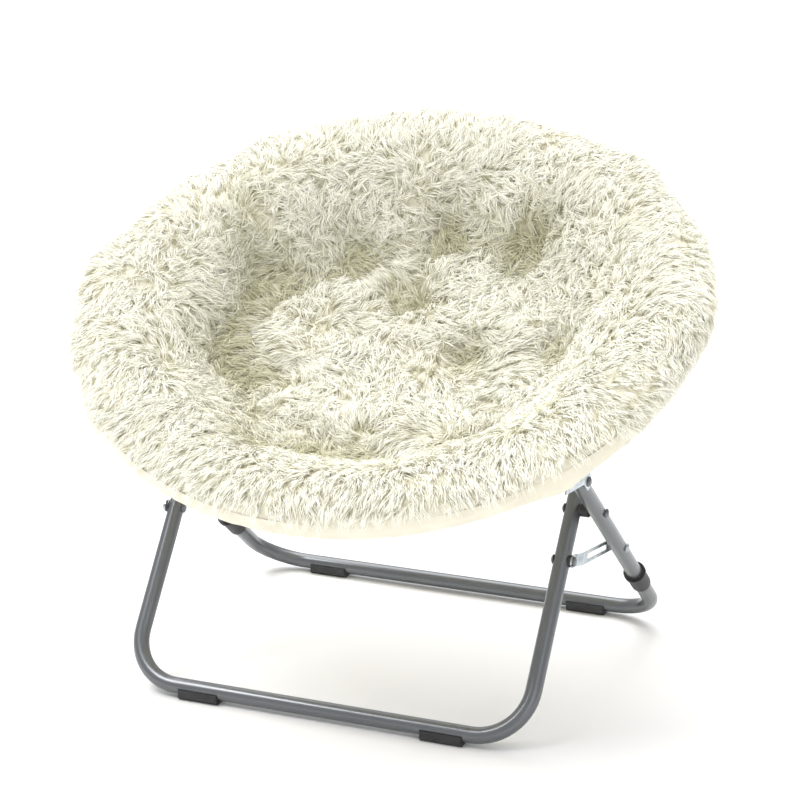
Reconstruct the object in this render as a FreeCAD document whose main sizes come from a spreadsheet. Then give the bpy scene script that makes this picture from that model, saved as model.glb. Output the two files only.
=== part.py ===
import FreeCAD, Part
import math
import os
import Sketcher
from FreeCAD import Matrix, Vector

# Folding saucer chair: two crossed U-shaped tube legs, an oval seat ring made
# of two hinged half rings, lock links between the legs, and a padded seat.
# Millimetres, +Z up, the front towards -Y, "right" is the +X side.
# The origin is on the floor, midway between the front rim and the rear rim.

SIZES = {
    # Steel tube, the same for the legs and the seat ring
    "tube_diameter": 19,
    "tube_wall": 1.2,
    "bend_radius": 60,
    # Leg crossing and the two leg frames
    "pivot_y": -37.7,
    "pivot_height": 231.6,
    "front_leg_angle": 53.1,
    "rear_leg_angle": 38.9,
    "front_leg_half_spacing": 242.7,
    "leg_side_gap": 10.1,
    "front_leg_upper": 365,
    "rear_leg_upper": 108,
    # Rivets
    "rivet_diameter": 6,
    "rivet_head_diameter": 11,
    "rivet_head_height": 2.8,
    "rivet_clearance": 0.08,
    "running_gap": 0.3,
    # Bushes between the legs
    "spacer_diameter": 15,
    "bush_bite": 2,
    "link_washer_diameter": 14,
    "link_washer_stand": 2,
    # Lock link: a cranked steel strip with a long slot
    "link_pivot_drop": 61.3,
    "link_pin_drop": 112,
    "link_width": 14,
    "link_end_round": 6.3,
    "link_thickness": 2,
    "link_offset": 4.5,
    "link_bend_start": 12,
    "link_bend_length": 9,
    "slot_width": 7,
    "slot_start": 42,
    "slot_end": 130,
    "pin_tip_gap": 0.3,
    # Fittings on the legs
    "cap_thickness": 3,
    "cap_plug_depth": 5,
    "collar_start": 200,
    "collar_length": 40,
    "collar_wall": 2.5,
    "collar_lip": 1.5,
    "collar_lip_height": 5,
    "stop_rivet_rise": 37,
    "foot_length": 50,
    "foot_half_width": 12,
    "foot_base_half_width": 8,
    "foot_thickness": 3.5,
    "front_foot_half_spacing": 150,
    "rear_foot_half_spacing": 178,
    # Seat ring: hinge line, tilts and the oval of the tube's centre line
    "hinge_y": -13.8,
    "hinge_height": 458,
    "hinge_rise": 20,
    "front_seat_tilt": 33.1,
    "rear_seat_tilt": 30,
    "ring_half_width": 365,
    "front_ring_depth": 330,
    "rear_ring_depth": 323,
    "side_arc_share": 0.94,
    "ring_end_gap": 6,
    # Ring hinge
    "leaf_thickness": 3,
    "leaf_length": 30,
    "leaf_half_height": 8,
    "leaf_eye_radius": 7,
    "leaf_eye_round": 6.65,
    "leaf_rivet_place": 18,
    "leaf_corner": 4,
    "hinge_pin_diameter": 5,
    # Brackets between the leg tops and the seat ring
    "bracket_thickness": 2,
    "bracket_clearance": 0.4,
    "bracket_rivet_inset": 11,
    "bracket_bite": 1,
    "bracket_end_round": 8.55,
    "saddle_spread": 17,
    "leg_bracket_low": 12,
    "leg_bracket_high": 6,
    # Padded seat
    "rim_overhang": 16,
    "rim_inner_width": 32,
    "rim_top_gap": 1,
    "rim_bottom_drop": 28,
    "rim_bottom_inset": 3,
    "rim_crown_round": 0.3,
    "rim_side_round": 0.35,
    "bowl_depth": 115,
    "bowl_edge_drop": 2,
    "bowl_sharpness": 1.6,
    "cover_thickness": 3,
    "cushion_thickness": 42,
    "seat_split_drop": 6,
    "seat_gap": 0.3,
    "notch_side_gap": 3,
    "saddle_room_inward": 45,
    "saddle_room_outward": 32,
    "holder_room_inward": 62,
    "holder_room_outward": 22,
}

PARTS_FOLDER = "parts"
X_AXIS = "vector(1; 0; 0)"
Y_AXIS = "vector(0; 1; 0)"
Z_AXIS = "vector(0; 0; 1)"
HALF_TUBE = "dims.tube_diameter / 2"
HALF_RIVET = "dims.rivet_diameter / 2"
RIVET_HOLE = f"({HALF_RIVET} + dims.rivet_clearance)"
HEAD_RADIUS = "dims.rivet_head_diameter / 2"
PIN_HOLE = "(dims.hinge_pin_diameter / 2 + dims.rivet_clearance)"
BAR_HEIGHT = f"(dims.foot_thickness + {HALF_TUBE})"
FRONT_LOWER = f"((dims.pivot_height - {BAR_HEIGHT}) / sin(dims.front_leg_angle))"
REAR_LOWER = f"((dims.pivot_height - {BAR_HEIGHT}) / sin(dims.rear_leg_angle))"
FRONT_BAR_Y = f"(dims.pivot_y - {FRONT_LOWER} * cos(dims.front_leg_angle))"
REAR_BAR_Y = f"(dims.pivot_y + {REAR_LOWER} * cos(dims.rear_leg_angle))"
REAR_LEG_X = "(dims.front_leg_half_spacing + dims.tube_diameter + dims.leg_side_gap)"
INNER_LEG_FACE = f"(dims.front_leg_half_spacing + {HALF_TUBE})"
OUTER_LEG_FACE = f"({REAR_LEG_X} - {HALF_TUBE})"

doc = FreeCAD.newDocument("folding_saucer_chair")


def make_sheet():
    sheet = doc.addObject("Spreadsheet::Sheet", "dims")
    for row, (alias, number) in enumerate(SIZES.items(), start=1):
        sheet.set(f"A{row}", alias)
        sheet.set(f"B{row}", str(number))
        sheet.setAlias(f"B{row}", alias)
    doc.recompute()
    return sheet


dims = make_sheet()
nodes = {}


def number(expression):
    """The value of an expression over the sheet's cells."""
    found = dims.evalExpression(str(expression))
    return float(getattr(found, "Value", found))


def place(x="0", y="0", z="0", axis=X_AXIS, angle="0"):
    return f"placement(vector({x}; {y}; {z}); rotation({axis}; {angle}))"


# Local frames. In a leg frame +Y goes up the leg from the crossing. In a seat
# frame +Y goes outwards from the hinge line and +Z is the seat's upper side.
FRONT_LEG = place(y="dims.pivot_y", z="dims.pivot_height", angle="dims.front_leg_angle")
REAR_LEG = place(y="dims.pivot_y", z="dims.pivot_height", angle="180 - dims.rear_leg_angle")
FRONT_SEAT = (place(y="dims.hinge_y", z="dims.hinge_height", angle="dims.front_seat_tilt")
              + " * " + place(axis=Z_AXIS, angle="180"))
REAR_SEAT = place(y="dims.hinge_y", z="dims.hinge_height", angle="dims.rear_seat_tilt")


def keep(name, piece):
    """Names a finished piece: the label is also the name of its file."""
    piece.Label = name
    nodes[name] = piece
    return piece


def keep_pair(name, right):
    """Keeps a right-hand piece and its mirror image on the left."""
    keep(f"{name}_right", right)
    left = doc.addObject("Part::Mirroring", f"{name}_mirror")
    left.Source = right
    left.Normal = Vector(1, 0, 0)
    keep(f"{name}_left", left)


def keep_group(name, rights):
    """Keeps a group of like pieces on both sides as one node."""
    group = doc.addObject("Part::Compound", f"{name}_group")
    lefts = []
    for right in rights:
        left = doc.addObject("Part::Mirroring", f"{right.Name}_mirror")
        left.Source = right
        left.Normal = Vector(1, 0, 0)
        lefts.append(left)
    group.Links = rights + lefts
    keep(name, group)


def new_body(name, frame):
    body = doc.addObject("PartDesign::Body", f"{name}_body")
    body.setExpression("Placement", frame)
    return body


def new_sketch(body, name, role, offset="0"):
    """A sketch on one of the body's origin planes, moved along its normal."""
    sketch = body.newObject("Sketcher::SketchObject", f"{body.Name}_{name}")
    plane = next(item for item in body.Origin.OriginFeatures if item.Role == role)
    sketch.AttachmentSupport = [(plane, "")]
    sketch.MapMode = "FlatFace"
    sketch.setExpression("AttachmentOffset.Base.z", offset)
    return sketch


def bind(sketch, kind, *places_and_size):
    """Adds a constraint whose last value is an expression, and binds it."""
    *places, size = places_and_size
    index = sketch.addConstraint(Sketcher.Constraint(kind, *places, number(size)))
    sketch.setExpression(f"Constraints[{index}]", size)


def bound_point(sketch, geometry, end, across, along):
    bind(sketch, "DistanceX", -1, 1, geometry, end, across)
    bind(sketch, "DistanceY", -1, 1, geometry, end, along)


def add_polygon(sketch, corners):
    """A closed outline whose corners are pairs of expressions."""
    first = sketch.GeometryCount
    points = [Vector(number(across), number(along), 0) for across, along in corners]
    for start, end in zip(points, points[1:] + points[:1]):
        sketch.addGeometry(Part.LineSegment(start, end))
    for step in range(len(corners)):
        after = first + (step + 1) % len(corners)
        sketch.addConstraint(Sketcher.Constraint("Coincident", first + step, 2, after, 1))
    for step, (across, along) in enumerate(corners):
        bound_point(sketch, first + step, 1, across, along)


def add_circle(sketch, across, along, radius):
    centre = Vector(number(across), number(along), 0)
    index = sketch.addGeometry(Part.Circle(centre, Vector(0, 0, 1), number(radius)))
    bound_point(sketch, index, 3, across, along)
    bind(sketch, "Radius", index, radius)


def add_slot(sketch, start, end, radius):
    """A slot along the sketch's first axis."""
    low, high, half = number(start), number(end), number(radius)
    first = sketch.GeometryCount
    quarter = math.pi / 2
    up = Vector(0, 0, 1)
    near = Part.Circle(Vector(low, 0, 0), up, half)
    far = Part.Circle(Vector(high, 0, 0), up, half)
    sketch.addGeometry(Part.ArcOfCircle(near, quarter, 3 * quarter))
    sketch.addGeometry(Part.LineSegment(Vector(low, -half, 0), Vector(high, -half, 0)))
    sketch.addGeometry(Part.ArcOfCircle(far, -quarter, quarter))
    sketch.addGeometry(Part.LineSegment(Vector(high, half, 0), Vector(low, half, 0)))
    for step in range(4):
        after = first + (step + 1) % 4
        sketch.addConstraint(Sketcher.Constraint("Tangent", first + step, 2, after, 1))
    bound_point(sketch, first, 3, start, "0")
    bound_point(sketch, first + 2, 3, end, "0")
    bind(sketch, "Radius", first, radius)


def pad(body, sketch, length, both_ways=False):
    feature = body.newObject("PartDesign::Pad", f"{sketch.Name}_pad")
    feature.Profile = sketch
    feature.SideType = "Symmetric" if both_ways else "One side"
    feature.setExpression("Length", length)
    doc.recompute()
    return feature


def pocket(body, sketch, length=None):
    """Cuts a sketch both ways, right through or to a whole length."""
    feature = body.newObject("PartDesign::Pocket", f"{sketch.Name}_pocket")
    before = body.Shape.Volume
    feature.Profile = sketch
    feature.SideType = "Symmetric"
    feature.Type = "ThroughAll" if length is None else "Length"
    if length is not None:
        feature.setExpression("Length", length)
    doc.recompute()
    if feature.Shape.Volume >= before:
        raise RuntimeError(f"{sketch.Name} cuts nothing")
    return feature


def fillet(body, edges, radius):
    base = body.Tip
    feature = body.newObject("PartDesign::Fillet", f"{body.Name}_fillet_{len(body.Group)}")
    feature.Base = (base, edges)
    feature.setExpression("Radius", radius)
    doc.recompute()
    return feature


def edges_across(body, axis, wanted):
    """Names of straight edges along an axis whose middle passes a test."""
    found = []
    for index, edge in enumerate(body.Tip.Shape.Edges, start=1):
        ends = [vertex.Point for vertex in edge.Vertexes]
        if len(ends) != 2 or not isinstance(edge.Curve, Part.Line):
            continue
        line = (ends[1] - ends[0]).normalize()
        if abs(line.dot(axis)) > 0.999 and wanted((ends[0] + ends[1]) / 2):
            found.append(f"Edge{index}")
    return found


def turned(name, frame, corners, upright=False):
    """A revolved piece about the frame's X axis, or about its Y axis."""
    body = new_body(name, frame)
    sketch = new_sketch(body, "profile", "XY_Plane")
    add_polygon(sketch, corners)
    feature = body.newObject("PartDesign::Revolution", f"{name}_turn")
    feature.Profile = sketch
    feature.ReferenceAxis = (sketch, ["V_Axis" if upright else "H_Axis"])
    feature.Angle = 360
    doc.recompute()
    return body


def rivet(name, frame, start, end, heads=("start", "end"), radius=HALF_RIVET):
    """A rivet along X with domed heads beyond its start, its end or both."""
    head = "dims.rivet_head_height"
    corners = [(start, "0")]
    if "start" in heads:
        corners = [(f"{start} - {head}", "0"),
                   (f"{start} - {head}", f"{HEAD_RADIUS} * 0.55"),
                   (f"{start} - {head} * 0.45", HEAD_RADIUS),
                   (start, HEAD_RADIUS)]
    corners.append((start, radius))
    corners.append((end, radius))
    if "end" in heads:
        corners += [(end, HEAD_RADIUS),
                    (f"{end} + {head} * 0.45", HEAD_RADIUS),
                    (f"{end} + {head}", f"{HEAD_RADIUS} * 0.55"),
                    (f"{end} + {head}", "0")]
    else:
        corners.append((end, "0"))
    return turned(name, frame, corners)


def cylinder(name, radius, length, frame):
    rod = doc.addObject("Part::Cylinder", name)
    rod.setExpression("Radius", radius)
    rod.setExpression("Height", length)
    rod.setExpression("Placement", frame)
    return rod


def cut(name, base, tool):
    result = doc.addObject("Part::Cut", name)
    result.Base = base
    result.Tool = tool
    doc.recompute()
    return result


# Leg frames
def leg_path(body, half_spacing, upper, lower):
    """The U of a leg's centre line: down one leg, along the bar and up."""
    sketch = new_sketch(body, "path", "XY_Plane")
    half, top, low = number(half_spacing), number(upper), -number(lower)
    bend = number("dims.bend_radius")
    up = Vector(0, 0, 1)
    left = Part.Circle(Vector(bend - half, low + bend, 0), up, bend)
    right = Part.Circle(Vector(half - bend, low + bend, 0), up, bend)
    sketch.addGeometry(Part.LineSegment(Vector(-half, top, 0), Vector(-half, low + bend, 0)))
    sketch.addGeometry(Part.ArcOfCircle(left, math.pi, 1.5 * math.pi))
    sketch.addGeometry(Part.LineSegment(Vector(bend - half, low, 0), Vector(half - bend, low, 0)))
    sketch.addGeometry(Part.ArcOfCircle(right, 1.5 * math.pi, 2 * math.pi))
    sketch.addGeometry(Part.LineSegment(Vector(half, low + bend, 0), Vector(half, top, 0)))
    for step in range(4):
        sketch.addConstraint(Sketcher.Constraint("Tangent", step, 2, step + 1, 1))
    sketch.addConstraint(Sketcher.Constraint("Vertical", 0))
    sketch.addConstraint(Sketcher.Constraint("Horizontal", 2))
    sketch.addConstraint(Sketcher.Constraint("Equal", 1, 3))
    bind(sketch, "Radius", 1, "dims.bend_radius")
    bound_point(sketch, 0, 1, f"-{half_spacing}", upper)
    bound_point(sketch, 4, 2, half_spacing, upper)
    bind(sketch, "DistanceY", -1, 1, 2, 1, f"-{lower}")
    return sketch


def leg_tube(name, frame, half_spacing, upper, lower, hole_places):
    """A bent tube with rivet holes across both legs."""
    body = new_body(name, frame)
    path = leg_path(body, half_spacing, upper, lower)
    profile = new_sketch(body, "profile", "XZ_Plane", f"-{upper}")
    add_circle(profile, f"-{half_spacing}", "0", HALF_TUBE)
    add_circle(profile, f"-{half_spacing}", "0", f"{HALF_TUBE} - dims.tube_wall")
    pipe = body.newObject("PartDesign::AdditivePipe", f"{name}_pipe")
    pipe.Profile = profile
    pipe.Spine = (path, [f"Edge{index}" for index in range(1, 6)])
    doc.recompute()
    holes = new_sketch(body, "holes", "YZ_Plane")
    for along in hole_places:
        add_circle(holes, along, "0", RIVET_HOLE)
    pocket(body, holes)
    keep(name, body)


def make_legs():
    leg_tube("front_leg_tube", FRONT_LEG, "dims.front_leg_half_spacing",
             "dims.front_leg_upper", FRONT_LOWER,
             ["0", "-dims.link_pivot_drop", "dims.stop_rivet_rise",
              "dims.front_leg_upper - dims.bracket_rivet_inset"])
    leg_tube("rear_leg_tube", REAR_LEG, REAR_LEG_X,
             "dims.rear_leg_upper", REAR_LOWER,
             ["0", "-dims.link_pin_drop",
              "dims.rear_leg_upper - dims.bracket_rivet_inset"])


# Bushes, rivets and caps on the legs
def saddle_bush(name, along, outer_end, diameter):
    """A plastic bush on the outer face of the front leg, hollowed to fit it."""
    inner_end = f"({INNER_LEG_FACE} - dims.bush_bite)"
    length = f"({outer_end} - {inner_end})"
    outward = place(x=inner_end, y=along, axis=Y_AXIS, angle="90")
    blank = cylinder(f"{name}_blank", f"{diameter} / 2", length, f"{FRONT_LEG} * {outward}")
    bore = cylinder(f"{name}_bore", RIVET_HOLE, length, f"{FRONT_LEG} * {outward}")
    reach = f"{diameter}"
    down = place(x="dims.front_leg_half_spacing", y=f"{along} + {reach}", angle="90")
    seat = cylinder(f"{name}_seat", HALF_TUBE, f"2 * {reach}", f"{FRONT_LEG} * {down}")
    return cut(f"{name}_bored", cut(f"{name}_seated", blank, seat), bore)


def make_pivots():
    spacer_end = f"({OUTER_LEG_FACE} - dims.running_gap)"
    spacer = saddle_bush("leg_pivot_spacer", "0", spacer_end, "dims.spacer_diameter")
    keep_pair("leg_pivot_spacer", spacer)
    inner = f"(dims.front_leg_half_spacing - {HALF_TUBE})"
    outer = f"({REAR_LEG_X} + {HALF_TUBE} + dims.running_gap)"
    keep_pair("leg_pivot_rivet", rivet("leg_pivot_rivet", FRONT_LEG, inner, outer))
    stop_frame = f"{FRONT_LEG} * " + place(y="dims.stop_rivet_rise")
    keep_group("front_leg_stop_rivets", [rivet("stop_rivet", stop_frame, inner, INNER_LEG_FACE)])


def end_cap(name, frame, half_spacing, upper):
    """A plug with a flange that closes the top of a leg."""
    top = f"({upper} + dims.cap_thickness)"
    plug = f"({HALF_TUBE} - dims.tube_wall)"
    corners = [("0", f"{upper} - dims.cap_plug_depth"),
               (plug, f"{upper} - dims.cap_plug_depth"),
               (plug, upper),
               (HALF_TUBE, upper),
               (HALF_TUBE, f"{top} - dims.cap_thickness / 2"),
               (f"{HALF_TUBE} - dims.cap_thickness / 2", top),
               ("0", top)]
    keep_pair(name, turned(name, f"{frame} * " + place(x=half_spacing), corners, upright=True))


def make_caps():
    end_cap("front_leg_cap", FRONT_LEG, "dims.front_leg_half_spacing", "dims.front_leg_upper")
    end_cap("rear_leg_cap", REAR_LEG, REAR_LEG_X, "dims.rear_leg_upper")


def make_collars():
    """Black collars low on the rear legs, each with a lip at its upper edge."""
    outer = f"({HALF_TUBE} + dims.collar_wall)"
    low = "-(dims.collar_start + dims.collar_length)"
    neck = "-(dims.collar_start + dims.collar_lip_height)"
    corners = [(HALF_TUBE, low),
               (f"{outer} - dims.collar_wall / 2", low),
               (outer, f"{low} + dims.collar_wall / 2"),
               (outer, f"{neck} - dims.collar_lip"),
               (f"{outer} + dims.collar_lip", neck),
               (f"{outer} + dims.collar_lip", "-dims.collar_start"),
               (HALF_TUBE, "-dims.collar_start")]
    frame = f"{REAR_LEG} * " + place(x=REAR_LEG_X)
    keep_pair("leg_collar", turned("leg_collar", frame, corners, upright=True))


def foot(name, across, bar_y):
    """A pad clipped under a floor bar, with a flat base on the floor."""
    body = new_body(name, place(x=across, y=bar_y))
    outline = new_sketch(body, "outline", "YZ_Plane")
    wide, narrow = "dims.foot_half_width", "dims.foot_base_half_width"
    shoulder = f"({wide} - {narrow})"
    add_polygon(outline, [(f"-{narrow}", "0"), (narrow, "0"), (wide, shoulder),
                          (wide, BAR_HEIGHT), (f"-{wide}", BAR_HEIGHT), (f"-{wide}", shoulder)])
    pad(body, outline, "dims.foot_length", both_ways=True)
    corners = edges_across(body, Vector(0, 0, 1), lambda point: True)
    fillet(body, corners, f"{shoulder} / 2")
    groove = new_sketch(body, "groove", "YZ_Plane")
    add_circle(groove, "0", BAR_HEIGHT, HALF_TUBE)
    pocket(body, groove)
    keep_pair(name, body)


def make_feet():
    foot("front_foot", "dims.front_foot_half_spacing", FRONT_BAR_Y)
    foot("rear_foot", "dims.rear_foot_half_spacing", REAR_BAR_Y)


# Lock links
LINK_RISE = ("(dims.link_pivot_drop * sin(dims.front_leg_angle)"
             " - dims.link_pin_drop * sin(dims.rear_leg_angle))")
LINK_RUN = ("(dims.link_pivot_drop * cos(dims.front_leg_angle)"
            " + dims.link_pin_drop * cos(dims.rear_leg_angle))")
LINK_REACH = f"sqrt({LINK_RISE} ^ 2 + {LINK_RUN} ^ 2)"
LINK_FRAME = (FRONT_LEG + " * " + place(y="-dims.link_pivot_drop") + " * "
              + place(angle=f"atan2({LINK_RISE}; {LINK_RUN}) - dims.front_leg_angle * 1 deg"))
LINK_NEAR = f"({INNER_LEG_FACE} + dims.link_washer_stand + dims.running_gap / 3)"
LINK_FAR = f"({LINK_NEAR} + dims.link_offset)"


def make_link():
    """A strip that is cranked outwards near its pivot and slotted beyond."""
    body = new_body("lock_link", LINK_FRAME)
    side = new_sketch(body, "side", "XY_Plane")
    thick = "dims.link_thickness"
    tail = "-dims.link_width / 2"
    tip = "(dims.slot_end + dims.link_width / 2)"
    bend_end = "(dims.link_bend_start + dims.link_bend_length)"
    add_polygon(side, [(LINK_NEAR, tail), (f"{LINK_NEAR} + {thick}", tail),
                       (f"{LINK_NEAR} + {thick}", "dims.link_bend_start"),
                       (f"{LINK_FAR} + {thick}", bend_end),
                       (f"{LINK_FAR} + {thick}", tip), (LINK_FAR, tip),
                       (LINK_FAR, bend_end), (LINK_NEAR, "dims.link_bend_start")])
    pad(body, side, "dims.link_width", both_ways=True)
    holes = new_sketch(body, "holes", "YZ_Plane")
    add_circle(holes, "0", "0", RIVET_HOLE)
    add_slot(holes, "dims.slot_start", "dims.slot_end", "dims.slot_width / 2")
    pocket(body, holes)
    low, high = number(tail), number(tip)
    ends = edges_across(body, Vector(1, 0, 0),
                        lambda point: min(abs(point.y - low), abs(point.y - high)) < 0.01)
    fillet(body, ends, "dims.link_end_round")
    keep_pair("lock_link", body)


def make_link_fasteners():
    stand_end = f"({INNER_LEG_FACE} + dims.link_washer_stand)"
    washer = saddle_bush("link_washer", "-dims.link_pivot_drop", stand_end,
                         "dims.link_washer_diameter")
    keep_pair("link_washer", washer)
    frame = f"{FRONT_LEG} * " + place(y="-dims.link_pivot_drop")
    inner = f"(dims.front_leg_half_spacing - {HALF_TUBE})"
    outer = f"({LINK_NEAR} + dims.link_thickness + dims.running_gap / 3)"
    keep_pair("link_rivet", rivet("link_rivet", frame, inner, outer))
    button_frame = f"{LINK_FRAME} * " + place(y=LINK_REACH)
    button = rivet("slot_button", button_frame, LINK_FAR,
                   f"({LINK_FAR} + dims.link_thickness)", heads=("start",))
    keep_pair("slot_button", button)
    pin_frame = f"{REAR_LEG} * " + place(y="-dims.link_pin_drop")
    tip = f"({LINK_FAR} + dims.link_thickness + dims.pin_tip_gap)"
    face = f"({REAR_LEG_X} + {HALF_TUBE})"
    keep_pair("link_pin", rivet("link_pin", pin_frame, tip, face, heads=("end",)))


# Seat ring
def side_arc(depth):
    """Radius of the two side arcs of a half ring, as an expression."""
    return f"(dims.side_arc_share * min(dims.ring_half_width; {depth}))"


def ring_reach(across, depth):
    """How far out from the hinge line the ring's centre line passes a leg."""
    aside = f"({across} - dims.ring_half_width + {side_arc(depth)})"
    return f"sqrt({side_arc(depth)} ^ 2 - {aside} ^ 2)"


def ring_path(name, depth, seat_frame):
    """The centre line of a half ring: a front arc between two tighter side arcs."""
    sketch = doc.addObject("Sketcher::SketchObject", f"{name}_path")
    sketch.setExpression("Placement", f"{seat_frame} * " + place(z="-dims.hinge_rise"))
    width, out, side = number("dims.ring_half_width"), number(depth), number(side_arc(depth))
    shift = width - side
    front = (shift ** 2 + out ** 2 - side ** 2) / (2 * (out - side))
    turn = math.atan2(front - out, shift)
    up = Vector(0, 0, 1)
    right = Part.Circle(Vector(shift, 0, 0), up, side)
    middle = Part.Circle(Vector(0, out - front, 0), up, front)
    left = Part.Circle(Vector(-shift, 0, 0), up, side)
    sketch.addGeometry(Part.ArcOfCircle(right, 0, turn))
    sketch.addGeometry(Part.ArcOfCircle(middle, turn, math.pi - turn))
    sketch.addGeometry(Part.ArcOfCircle(left, math.pi - turn, math.pi))
    top = sketch.addGeometry(Part.Point(Vector(0, out, 0)), True)
    sketch.addConstraint(Sketcher.Constraint("Tangent", 0, 2, 1, 1))
    sketch.addConstraint(Sketcher.Constraint("Tangent", 1, 2, 2, 1))
    sketch.addConstraint(Sketcher.Constraint("Equal", 0, 2))
    bound_point(sketch, 0, 1, "dims.ring_half_width", "0")
    bound_point(sketch, 0, 3, f"dims.ring_half_width - {side_arc(depth)}", "0")
    bound_point(sketch, 2, 2, "-dims.ring_half_width", "0")
    bound_point(sketch, top, 1, "0", depth)
    sketch.addConstraint(Sketcher.Constraint("PointOnObject", 1, 3, -2))
    sketch.addConstraint(Sketcher.Constraint("PointOnObject", top, 1, 1))
    doc.recompute()
    return sketch


def ring_sweep(name, path, seat_frame, radius):
    circle = doc.addObject("Part::Circle", f"{name}_circle")
    circle.setExpression("Radius", radius)
    start = place(x="dims.ring_half_width", z="-dims.hinge_rise", angle="90")
    circle.setExpression("Placement", f"{seat_frame} * {start}")
    sweep = doc.addObject("Part::Sweep", f"{name}_sweep")
    sweep.Sections = [circle]
    sweep.Spine = (path, ["Edge1", "Edge2", "Edge3"])
    sweep.Solid = True
    sweep.Frenet = False
    doc.recompute()
    return sweep


def half_ring(name, path, seat_frame):
    """A bent tube that stops short of the hinge line, with its leaf holes."""
    outer = ring_sweep(f"{name}_outer", path, seat_frame, HALF_TUBE)
    inner = ring_sweep(f"{name}_inner", path, seat_frame, f"{HALF_TUBE} - dims.tube_wall")
    tube = cut(f"{name}_hollow", outer, inner)
    width = "(2 * (dims.ring_half_width + dims.tube_diameter))"
    ends = doc.addObject("Part::Box", f"{name}_ends")
    ends.setExpression("Length", width)
    ends.setExpression("Width", "2 * dims.ring_end_gap")
    ends.setExpression("Height", "2 * dims.tube_diameter")
    corner = place(x=f"-{width} / 2", y="-dims.ring_end_gap",
                   z="-dims.hinge_rise - dims.tube_diameter")
    ends.setExpression("Placement", f"{seat_frame} * {corner}")
    across = place(x=f"-{width} / 2", y="dims.leaf_rivet_place", z="-dims.hinge_rise",
                   axis=Y_AXIS, angle="90")
    hole = cylinder(f"{name}_hole", RIVET_HOLE, width, f"{seat_frame} * {across}")
    keep(name, cut(f"{name}_drilled", cut(f"{name}_trimmed", tube, ends), hole))


def oval_inset(depth, out="dims.leaf_length"):
    """How far the oval has drawn in at a distance out from the hinge line."""
    return f"({side_arc(depth)} - sqrt({side_arc(depth)} ^ 2 - ({out}) ^ 2))"


def leaf_start(inside, depth):
    """The inner face of a leaf that lies on the inner or outer side of a tube."""
    if inside:
        return (f"(dims.ring_half_width - {HALF_TUBE} - dims.leaf_thickness"
                f" - {oval_inset(depth)})")
    return f"(dims.ring_half_width + {HALF_TUBE})"


def hinge_leaf(name, seat_frame, inside, depth):
    """A plate along the end of a half ring, with an eye for the hinge pin."""
    body = new_body(name, seat_frame)
    start = leaf_start(inside, depth)
    outline = new_sketch(body, "outline", "YZ_Plane", start)
    eye, half = "dims.leaf_eye_radius", "dims.leaf_half_height"
    top, low = f"({half} - dims.hinge_rise)", f"(-{half} - dims.hinge_rise)"
    add_polygon(outline, [(f"-{eye}", eye), (f"-{eye}", f"-{eye}"),
                          (f"{eye} / 2", low), ("dims.leaf_length", low),
                          ("dims.leaf_length", top), (eye, top), (eye, eye)])
    pad(body, outline, "dims.leaf_thickness")
    holes = new_sketch(body, "holes", "YZ_Plane")
    add_circle(holes, "0", "0", PIN_HOLE)
    add_circle(holes, "dims.leaf_rivet_place", "-dims.hinge_rise", RIVET_HOLE)
    pocket(body, holes)
    eye_top = number(eye)
    fillet(body, edges_across(body, Vector(1, 0, 0), lambda point: point.z > eye_top - 0.01),
           "dims.leaf_eye_round")
    far = number("dims.leaf_length")
    fillet(body, edges_across(body, Vector(1, 0, 0), lambda point: point.y > far - 0.01),
           "dims.leaf_corner")
    keep_pair(name, body)


def leaf_rivet(name, seat_frame, inside, depth):
    frame = f"{seat_frame} * " + place(y="dims.leaf_rivet_place", z="-dims.hinge_rise")
    start = leaf_start(inside, depth)
    if inside:
        return rivet(name, frame, start, f"(dims.ring_half_width + {HALF_TUBE})")
    head_reach = f"(dims.leaf_rivet_place + {HEAD_RADIUS})"
    inner = f"(dims.ring_half_width - {HALF_TUBE} - {oval_inset(depth, head_reach)})"
    return rivet(name, frame, inner, f"({start} + dims.leaf_thickness)")


def make_ring_hinges():
    hinge_leaf("front_hinge_leaf", FRONT_SEAT, True, "dims.front_ring_depth")
    hinge_leaf("rear_hinge_leaf", REAR_SEAT, False, "dims.rear_ring_depth")
    front = leaf_rivet("front_leaf_rivet", FRONT_SEAT, True, "dims.front_ring_depth")
    keep_group("front_leaf_rivets", [front])
    rear = leaf_rivet("rear_leaf_rivet", REAR_SEAT, False, "dims.rear_ring_depth")
    keep_group("rear_leaf_rivets", [rear])
    start = f"({leaf_start(True, 'dims.front_ring_depth')} - dims.running_gap)"
    end = f"({leaf_start(False, 'dims.rear_ring_depth')} + dims.leaf_thickness)"
    pin = rivet("ring_hinge_pin", REAR_SEAT, start, end, radius="dims.hinge_pin_diameter / 2")
    keep_pair("ring_hinge_pin", pin)


# Brackets that carry the seat ring on the leg tops
def ring_in_leg(tilt, depth, sense, across, leg_angle):
    """Where the ring's centre line passes a leg, in the leg's own frame."""
    out = ring_reach(across, depth)
    y = f"(dims.hinge_y + {sense} * {out} * cos({tilt}) + dims.hinge_rise * sin({tilt}) - dims.pivot_y)"
    z = (f"(dims.hinge_height + {sense} * {out} * sin({tilt})"
         f" - dims.hinge_rise * cos({tilt}) - dims.pivot_height)")
    along = f"({y} * cos({leg_angle}) + {z} * sin({leg_angle}))"
    over = f"(-{y} * sin({leg_angle}) + {z} * cos({leg_angle}))"
    return along, over


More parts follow.
